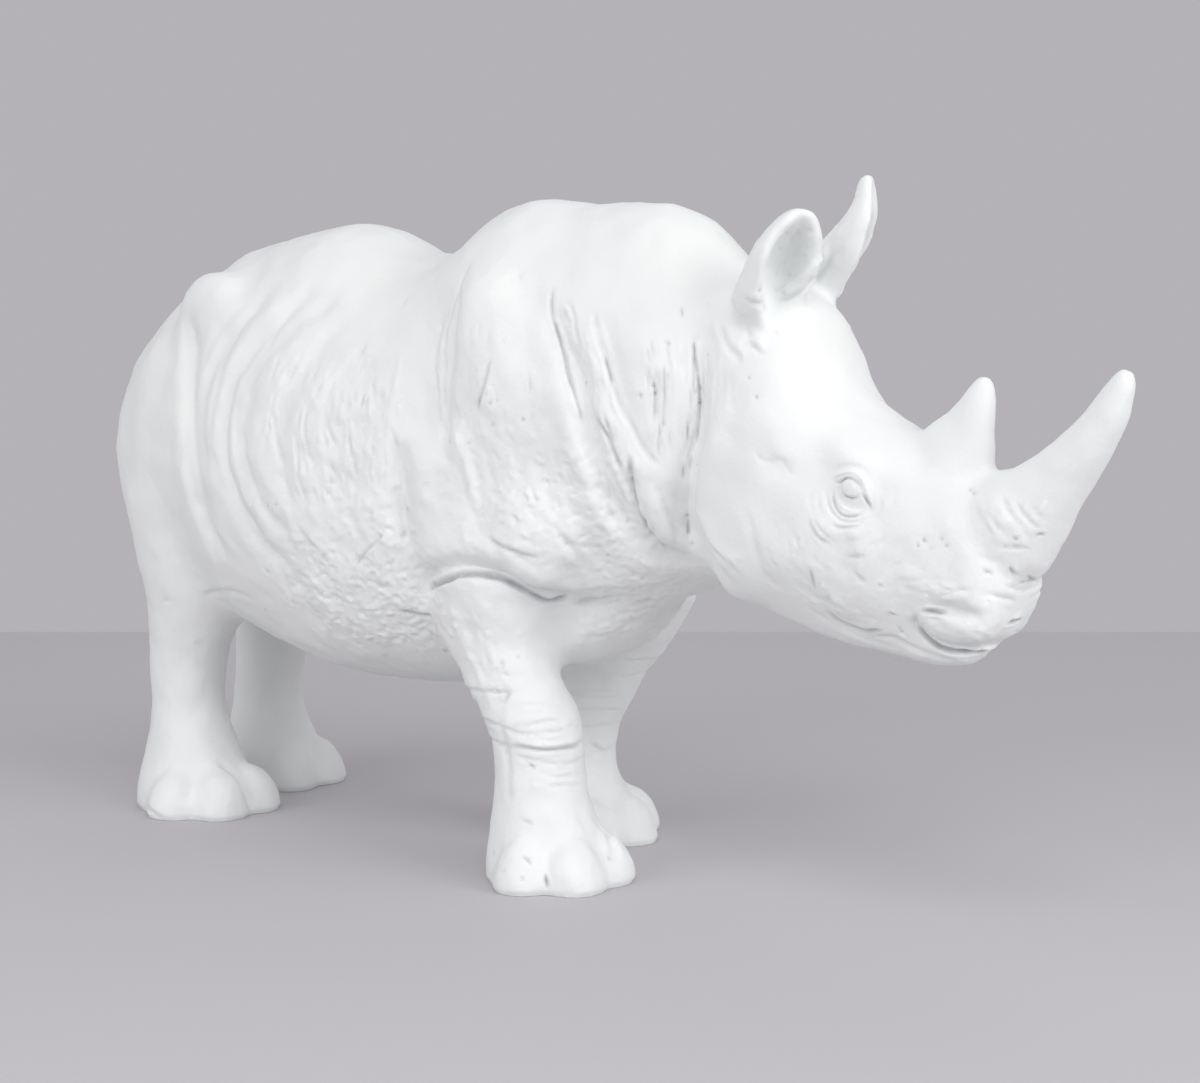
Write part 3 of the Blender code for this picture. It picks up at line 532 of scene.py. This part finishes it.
def curve(points, spacing=4.0):
    """Points along a smooth line through the points given."""
    points = np.array(points, float)
    ends = 2 * points[0] - points[1], 2 * points[-1] - points[-2]
    padded = np.vstack([ends[0], points, ends[1]])
    made = []
    for a, b, c, d in zip(padded, padded[1:], padded[2:], padded[3:]):
        steps = max(2, round(np.linalg.norm(c - b) / spacing))
        t = np.linspace(0, 1, steps, endpoint=False)[:, None]
        bend, twist = 2 * a - 5 * b + 4 * c - d, 3 * b - a - 3 * c + d
        made.append(0.5 * (2 * b + (c - a) * t + bend * t**2 + twist * t**3))
    return np.vstack(made + [points[-1:]])


def along(line, shares):
    """Places at shares of a line's length."""
    line = curve(line)
    walked = np.concatenate([[0], np.cumsum(np.linalg.norm(np.diff(line, axis=0), axis=1))])
    return np.stack([np.interp(shares, walked / walked[-1], line[:, i]) for i in (0, 1)], 1)


def waves(places, length, count=WAVES):
    """A soft random field with hills about as far apart as length."""
    total = np.zeros(len(places))
    for _ in range(count):
        way = rng.normal(size=3)
        way *= rng.uniform(0.75, 1.35) * 2 * np.pi / (length * np.linalg.norm(way))
        total += np.sin(places @ way + rng.uniform(0, 2 * np.pi))
    return total * math.sqrt(2 / count)


class Clay:
    """The skin while it is soft: its corners in mm from the middle plane, and their lift."""

    def __init__(self, obj):
        mesh = obj.data
        count = len(mesh.vertices)
        places, normals = np.empty(count * 3), np.empty(count * 3)
        mesh.vertices.foreach_get("co", places)
        mesh.vertices.foreach_get("normal", normals)
        self.places = (places.reshape(-1, 3) - (0, MIDDLE_Y, 0)) * 1000
        self.normals = normals.reshape(-1, 3)
        self.lift = np.zeros(count)
        # Painted shade for the narrow cuts and the pits, from 0 to 1; the paint greys the skin by it.
        self.painted_shade = np.zeros(count)
        self.order = np.argsort(self.places[:, 0])
        self.ordered = self.places[self.order]
        self.nearest = np.full(count, np.inf)
        self.travelled = np.zeros(count)
        self.side = np.ones(count)

    def near(self, low, high):
        """The corners inside a box."""
        first, last = np.searchsorted(self.ordered[:, 0], (low[0], high[0]))
        places = self.ordered[first:last]
        inside = (places[:, 1] > low[1]) & (places[:, 1] < high[1])
        inside &= (places[:, 2] > low[2]) & (places[:, 2] < high[2])
        return self.order[first:last][inside]

    def mark(self, points, depth, width, ledge, mirror=1):
        """Draws one tool mark through points on the skin."""
        if len(points) < 2:
            return
        points = np.array(points) * (1, mirror, 1)
        reach = GROOVE_REACH * width + (1.6 * LEDGE_REACH_MM if ledge else 0)
        touched = []
        walked = 0.0
        for start, end in zip(points, points[1:]):
            run = end - start
            stretch = np.linalg.norm(run)
            if stretch < 1e-6 or stretch > GAP_MM:
                continue
            chosen = self.near(np.minimum(start, end) - reach, np.maximum(start, end) + reach)
            offset = self.places[chosen] - start
            share = np.clip(offset @ run / stretch**2, 0, 1)
            distance = np.linalg.norm(offset - share[:, None] * run, axis=1)
            closer = distance < self.nearest[chosen]
            chosen, offset, share = chosen[closer], offset[closer], share[closer]
            self.nearest[chosen] = distance[closer]
            self.travelled[chosen] = walked + share * stretch
            across = np.einsum("ij,ij->i", np.cross(self.normals[chosen], run), offset)
            self.side[chosen] = np.sign(across) * mirror
            touched.append(chosen)
            walked += stretch
        if not touched:
            return
        chosen = np.unique(np.concatenate(touched))
        nearest, travelled, side = self.nearest[chosen], self.travelled[chosen], self.side[chosen]
        self.nearest[chosen] = np.inf
        taper = min(TAPER_MM + TAPER_WIDTHS * width, TAPER_SHARE * walked)
        ends = ramp(travelled, 0, taper) * ramp(walked - travelled, 0, taper)
        phase = rng.uniform(0, 2 * np.pi, 2)
        hand = 1
        for (share, swing), begin in zip(WAVER, phase):
            hand = hand + share * np.sin(travelled / swing + begin)
        groove = np.exp(-((nearest / width) ** 2))
        beside = (nearest - LIP_PLACE * width) / (LIP_WIDTH * width)
        lips = LIP * np.exp(-(beside**2)) if depth > 0 else 0
        self.lift[chosen] -= depth * hand * (groove - lips) * ends
        # Painted shade: a narrow cut is greyed, the more the deeper it is for its width.
        if depth > 0 and width < NARROW_MM:
            self.painted_shade[chosen] += ramp(depth / width, 0.3, 1.5) * groove * ends
        if ledge:
            upper = ramp(nearest * side * np.sign(ledge), -0.3, 0.8 * width)
            self.lift[chosen] += abs(ledge) * upper * np.exp(-((nearest / LEDGE_REACH_MM) ** 2)) * ends

    def pit(self, centre, radius, depth, mirror=1):
        """Presses a small round hole, or with a depth below 0 a ball, into the skin."""
        centre = np.array(centre) * (1, mirror, 1)
        chosen = self.near(centre - 2.5 * radius, centre + 2.5 * radius)
        distance = np.linalg.norm(self.places[chosen] - centre, axis=1)
        shape = np.exp(-((distance / radius) ** 2))
        if depth < 0:
            shape = np.sqrt(np.clip(1 - (distance / radius) ** 2, 0, 1))
        self.lift[chosen] -= depth * shape
        # A pit is greyed with painted shade.
        if depth > 0:
            self.painted_shade[chosen] += PIT_SHADE * shape


def in_clay(place):
    """A place in mm from the middle plane."""
    return (place - Vector((0, MIDDLE_Y, 0))) * 1000


def on_clay(pixels):
    """Places on the clay under pixels of the photograph."""
    return [in_clay(place) for place in hits(skin, pixels)]


def from_behind(across, up):
    """A ray from behind the rump, level and forward, given in mm from the middle plane."""
    return Vector((BEHIND, MIDDLE_Y + across / 1000, up / 1000)), Vector((1, 0, 0))


bm = bmesh.new()
bm.from_mesh(casting.data)
skin = BVHTree.FromBMesh(bm)
bm.free()
clay = Clay(casting)
for points, depth, width, ledge in BOTH_SIDES:
    for mirror in (1, -1):
        clay.mark(on_clay(curve(points)), PRESSURE * depth, width, PRESSURE * ledge, mirror)
for points, depth, width, ledge in LEG_MARKS + EAR_MARKS:
    clay.mark(on_clay(curve(points)), PRESSURE * depth, width, PRESSURE * ledge)
for points, depth, width, ledge in RUMP_MARKS + TAIL_RINGS:
    for mirror in (1, -1):
        found = [skin.ray_cast(*from_behind(*point))[0] for point in curve(points)]
        places = [in_clay(place) for place in found if place is not None]
        clay.mark(places, depth, width, ledge, mirror)
for pixel in PITS:
    for place in on_clay([pixel]):
        size = rng.uniform(*PIT_SIZES)
        clay.pit(place, PIT_RADIUS * size, PIT_DEPTH * size)
for mirror in (1, -1):
    clay.pit(on_clay([EYEBALL_PIXEL])[0], EYEBALL_RADIUS, -EYEBALL_LIFT, mirror)


def rake(fields, mirror):
    """Draws the streaks of each field."""
    for first, second, count, shortest, longest, depth, width in fields:
        guides = np.array([along(guide, np.linspace(0, 1, GUIDE_POINTS)) for guide in (first, second)])
        run = np.linalg.norm(np.diff(guides.mean(0), axis=0), axis=1).sum()
        for _ in range(count):
            length = rng.uniform(shortest, longest) / run
            start = rng.uniform(0, 1 - length)
            steps = np.linspace(0, 1, STREAK_POINTS)
            shares = start + length * steps
            across = rng.uniform(0, 1) + rng.uniform(-STREAK_DRIFT, STREAK_DRIFT) * steps[:, None]
            pixels = along(first, shares) * (1 - across) + along(second, shares) * across
            sign = -1 if rng.uniform() < RIDGE_SHARE else 1
            strength = rng.uniform(*STREAK_STRENGTHS)
            breadth = width * rng.uniform(*STREAK_WIDTHS)
            clay.mark(on_clay(pixels), sign * depth * strength, breadth, 0, mirror)


rake(BODY_STREAKS, 1)
rake(BODY_STREAKS, -1)
rake(LEG_STREAKS, 1)

for middle, heights, depth, width in LEG_WRINKLES:
    for height in heights:
        level = clay.places[np.abs(clay.places[:, 2] - height) < 1.5]
        level = level[np.hypot(level[:, 0] - middle[0], level[:, 1] - middle[1]) < LEG_REACH]
        axis = Vector(level.mean(0)) / 1000 + Vector((0, MIDDLE_Y, 0))
        for _ in range(3):
            start, sweep = rng.uniform(0, 2 * math.pi), rng.uniform(*WRINKLE_SWEEPS)
            swing = rng.uniform(-WRINKLE_SWING, WRINKLE_SWING)
            ring = []
            for angle in np.linspace(start, start + sweep, WRINKLE_POINTS):
                way = Vector((math.cos(angle), math.sin(angle), 0))
                rise = Vector((0, 0, swing * math.sin(2 * angle) / 1000))
                ring += [skin.ray_cast(axis + rise, way, 0.04)[0]]
            ring = [in_clay(place) for place in ring if place is not None]
            clay.mark(ring, depth * rng.uniform(0.6, 1.2), width, WRINKLE_LEDGE)

worked = np.zeros(len(clay.lift))
for pixel, reach, more in WORKED_SPOTS:
    for place in on_clay([pixel]):
        for mirror in (1, -1):
            distance = np.linalg.norm(clay.places - np.array(place) * (1, mirror, 1), axis=1)
            worked += more * np.exp(-((distance / reach) ** 2))
worked = np.minimum(worked, WORKED_MOST)
for length, height, share in LUMPS:
    clay.lift += height * waves(clay.places, length) * (1 - share + share * worked)
crumbs = waves(clay.places, CRUMB_MM[0]) * waves(clay.places, CRUMB_MM[1])
rough = ramp(worked, 0.9, 1.7)
clay.lift -= CRUMB_PIT_MM * rough * ramp(crumbs, 0.7, 1.8)
clay.lift += CRUMB_RISE_MM * rough * ramp(-crumbs, 0.7, 1.8)

# The soles are rubbed on a board, so their edges are round and drawn in a little.
inward = -SOLE_DRAW_IN_MM * (1 - ramp(clay.places[:, 2], 0, SOLE_ROUND_MM))
moved = clay.places + clay.normals * (clay.lift + inward)[:, None]
moved = moved / 1000 + (0, MIDDLE_Y, 0)
casting.data.vertices.foreach_set("co", moved.ravel())
# The painted shade of the cuts and pits goes with the skin to the paint.
painted_shade = casting.data.attributes.new("painted_shade", "FLOAT", "POINT")
painted_shade.data.foreach_set("value", np.clip(clay.painted_shade, 0, 1))
casting.data.update()

# The soles are ground flat, and the skin is thinned where it is smooth.
bm = bmesh.new()
bm.from_mesh(casting.data)
bmesh.ops.holes_fill(bm, edges=trim_below(bm, SOLE_LEVEL), sides=0)
bmesh.ops.triangulate(bm, faces=[face for face in bm.faces if len(face.verts) > 4])
bm.to_mesh(casting.data)
bm.free()
triangles = sum(len(p.vertices) - 2 for p in casting.data.polygons)
thin = casting.modifiers.new("thin_out", "DECIMATE")
thin.ratio = min(1, CASTING_TRIANGLES / triangles)
settle(casting)
for v in casting.data.vertices:
    for axis in range(3):
        v.co[axis] = min(max(v.co[axis], cad_box[0][axis]), cad_box[1][axis])
casting.data.shade_smooth()

# Paint. Two coats of matt white acrylic over the resin. It dries a little cool and slightly
# uneven. Painted shade greys the bottom of the narrow cuts and the casting pits.
PAINT_WHITE = "F4F6F3"
PAINT_THIN = "E9ECEC"
PAINTED_SHADE_GREY = "BCBFC1"
PAINT_ROUGHNESS = 0.6
CLOUD_MM = 30
GRAIN_MM = 1.4
GRAIN_HEIGHT = 0.0003


def linear(hex_colour):
    """A linear colour from an sRGB hex value."""
    parts = [int(hex_colour[i:i + 2], 16) / 255 for i in (0, 2, 4)]
    return (*[c / 12.92 if c < 0.04045 else ((c + 0.055) / 1.055) ** 2.4 for c in parts], 1)


def node(tree, kind, settings=(), **links):
    """Adds a shader node with its settings, and links or sets its inputs."""
    made = tree.nodes.new(kind)
    for name, value in dict(settings).items():
        setattr(made, name, value)
    for name, value in links.items():
        socket = made.inputs[int(name[1:]) if name[0] == "_" else name.replace("_", " ")]
        if isinstance(value, bpy.types.NodeSocket):
            tree.links.new(value, socket)
        else:
            socket.default_value = value
    return made


paint = bpy.data.materials.new("matt_white_acrylic_paint")
paint.use_nodes = True
tree = paint.node_tree
shader = tree.nodes["Principled BSDF"]
place = node(tree, "ShaderNodeTexCoord").outputs["Object"]
cloud = node(tree, "ShaderNodeTexNoise", Vector=place, Scale=1000 / CLOUD_MM, Detail=4.0).outputs["Fac"]
# Painted shade: the skin's cuts and pits are mixed towards a grey.
painted_shade_mask = node(tree, "ShaderNodeAttribute", {"attribute_name": "painted_shade"}).outputs["Fac"]
coat = node(
    tree, "ShaderNodeMix", {"data_type": "RGBA"},
    _0=cloud, _6=linear(PAINT_WHITE), _7=linear(PAINT_THIN),
).outputs[2]
coat_with_painted_shade = node(
    tree, "ShaderNodeMix", {"data_type": "RGBA"}, _0=painted_shade_mask, _6=coat, _7=linear(PAINTED_SHADE_GREY)
).outputs[2]
tree.links.new(coat_with_painted_shade, shader.inputs["Base Color"])
shader.inputs["Roughness"].default_value = PAINT_ROUGHNESS
grain = node(tree, "ShaderNodeTexNoise", Vector=place, Scale=1000 / GRAIN_MM, Detail=3.0).outputs["Fac"]
bump = node(tree, "ShaderNodeBump", Strength=0.3, Distance=GRAIN_HEIGHT, Height=grain)
tree.links.new(bump.outputs["Normal"], shader.inputs["Normal"])
casting.data.materials.clear()
casting.data.materials.append(paint)

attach(casting, "root")
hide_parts("rhinoceros")

# Floor and light. A pale grey table top that ends behind the figure, as the floor of the
# photograph does, with a pale grey room behind it and broad soft lights.
TABLE_GREY = "C4C2C5"
ROOM_GREY = "B4B2B6"
TABLE_ROUGHNESS = 0.7
TABLE_HALF = 0.546
TABLE_THICKNESS = 0.03
LAMP_SIZE, LAMP_DISTANCE, LAMP_AIM = 0.9, 1.5, 0.1

bm = bmesh.new()
bmesh.ops.create_cube(bm, size=1)
bmesh.ops.scale(bm, vec=(2 * TABLE_HALF, 2 * TABLE_HALF, TABLE_THICKNESS), verts=bm.verts)
bmesh.ops.translate(bm, vec=(0, 0, -TABLE_THICKNESS / 2), verts=bm.verts)
mesh = bpy.data.meshes.new("floor")
bm.to_mesh(mesh)
bm.free()
floor = bpy.data.objects.new("floor", mesh)
floor.rotation_euler = (0, 0, CAMERA_TURN)
bpy.context.scene.collection.objects.link(floor)
stone = bpy.data.materials.new("pale_table_top")
stone.use_nodes = True
shader = stone.node_tree.nodes["Principled BSDF"]
shader.inputs["Base Color"].default_value = linear(TABLE_GREY)
shader.inputs["Roughness"].default_value = TABLE_ROUGHNESS
floor.data.materials.append(stone)


def soft_light(name, turn, rise, watts):
    """A square lamp with a soft front, turned round the figure from the camera and raised."""
    lamp = bpy.data.lights.new(name, "AREA")
    lamp.shape = "SQUARE"
    lamp.size = LAMP_SIZE
    lamp.energy = watts
    bearing = CAMERA_TURN - math.radians(90 - turn)
    level, up = math.cos(math.radians(rise)), math.sin(math.radians(rise))
    away = Vector((level * math.cos(bearing), level * math.sin(bearing), up)) * LAMP_DISTANCE
    obj = bpy.data.objects.new(name, lamp)
    obj.location = away + Vector((0, 0, LAMP_AIM))
    obj.rotation_euler = (-away).to_track_quat("-Z", "Y").to_euler()
    bpy.context.scene.collection.objects.link(obj)


soft_light("left_lamp", -50, 20, 5.9)
soft_light("right_lamp", 50, 20, 9.3)
soft_light("lamp_over_camera", 0, 50, 5.5)
soft_light("lamp_behind", 170, 45, 1.6)
world = bpy.data.worlds.new("room")
world.use_nodes = True
backdrop = world.node_tree.nodes["Background"]
backdrop.inputs["Color"].default_value = linear(ROOM_GREY)
backdrop.inputs["Strength"].default_value = 1.0
bpy.context.scene.world = world
bpy.context.scene.view_settings.view_transform = "Standard"
